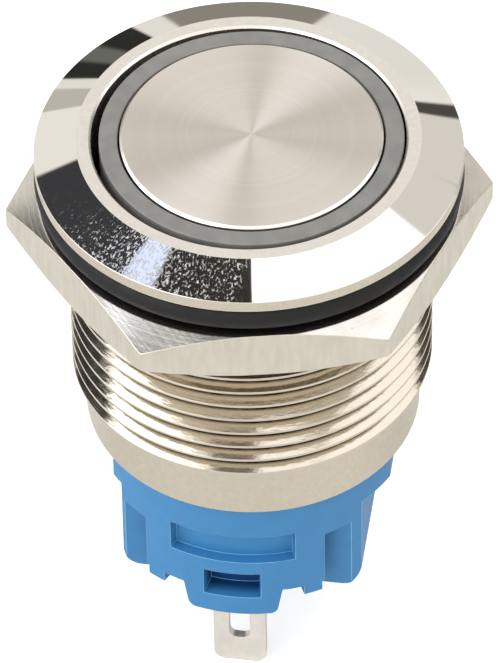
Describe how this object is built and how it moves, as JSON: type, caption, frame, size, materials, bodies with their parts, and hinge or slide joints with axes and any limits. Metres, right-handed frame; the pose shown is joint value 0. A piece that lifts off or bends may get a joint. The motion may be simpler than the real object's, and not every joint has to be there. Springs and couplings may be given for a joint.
{
  "type": "anti vandal push button",
  "caption": "Round metal push button with a light ring in its cap, threaded barrel, O-ring, hexagon nut and a moulded rear housing with solder lugs.",
  "frame": {"origin": "centre of the bezel's underside, where it seats on the panel", "axes": "+Z out of the button's front along its axis; -Y is the side of the blue housing that faces the picture's camera; +X to the right of it"},
  "size_m": [0.0246, 0.024, 0.0334],
  "materials": {
    "shell_plate": "nickel plate on turned brass: polished chamfer, satin flat and barrel",
    "nut_plate": "nickel plate on brass, satin, warm grey",
    "brushed_disc": "stainless steel, spun-brushed in circles, bright turned edge",
    "ring_plastic": "translucent moulded ring, unlit, matte grey",
    "seal_rubber": "black nitrile rubber, satin",
    "inner_plastic": "black moulded plastic",
    "spring_steel": "bright spring wire and strip",
    "board_laminate": "green coated circuit board",
    "lamp_plastic": "clear lamp bodies over a pale yellow chip",
    "chip_ceramic": "black coated chip resistor",
    "terminal_plate_metal": "silver-plated brass strip, matte",
    "contact_silver": "silver contact rivets",
    "blade_copper": "copper alloy spring strip",
    "housing_plastic": "blue moulded nylon, fine matte texture"
  },
  "bodies": {
    "housing": {"body_shell": "shell_plate", "panel_o_ring": "seal_rubber", "guide_block": "inner_plastic", "lamp_board": "board_laminate", "leds": "lamp_plastic", "lamp_resistor": "chip_ceramic", "base_moulding": "housing_plastic", "terminal_plate": "housing_plastic", "terminal_lamp_positive": "terminal_plate_metal", "terminal_lamp_negative": "terminal_plate_metal", "terminal_common": "terminal_plate_metal", "terminal_normally_open": "terminal_plate_metal", "terminal_normally_closed": "terminal_plate_metal", "fixed_contact_open": "contact_silver", "fixed_contact_closed": "contact_silver", "retaining_ring": "spring_steel", "return_spring": "spring_steel", "actuator_spring": "spring_steel"},
    "button": {"button_disc": "brushed_disc", "light_ring": "ring_plastic", "plunger": "inner_plastic", "plunger_seal": "seal_rubber", "plunger_clip": "spring_steel"},
    "nut": {"hex_nut": "nut_plate"},
    "blade": {"moving_blade": "blade_copper", "moving_contact": "contact_silver", "blade_tappet": "inner_plastic"}
  },
  "joints": [
    {"name": "button_slide", "type": "slide", "parent": "housing", "child": "button", "axis": [0, 0, -1], "range_m": [0, 0.0025], "stiffness_N_per_m": 800, "springref_m": -0.0025, "deforming": ["return_spring", "actuator_spring"]},
    {"name": "nut_slide", "type": "slide", "parent": "housing", "child": "nut", "axis": [0, 0, -1], "range_m": [0, 0.0092]},
    {"name": "blade_tilt", "type": "hinge", "parent": "housing", "child": "blade", "pos_m": [-0.0035, 0, -0.01443], "axis": [0, 1, 0], "range_deg": [0, 6.6], "stiffness_Nm_per_rad": 0.000002, "springref_deg": -63.03}
  ],
  "couplings": [
    {"joint": "blade_tilt", "follows": "button_slide", "rad_per_m": 45.811}
  ]
}
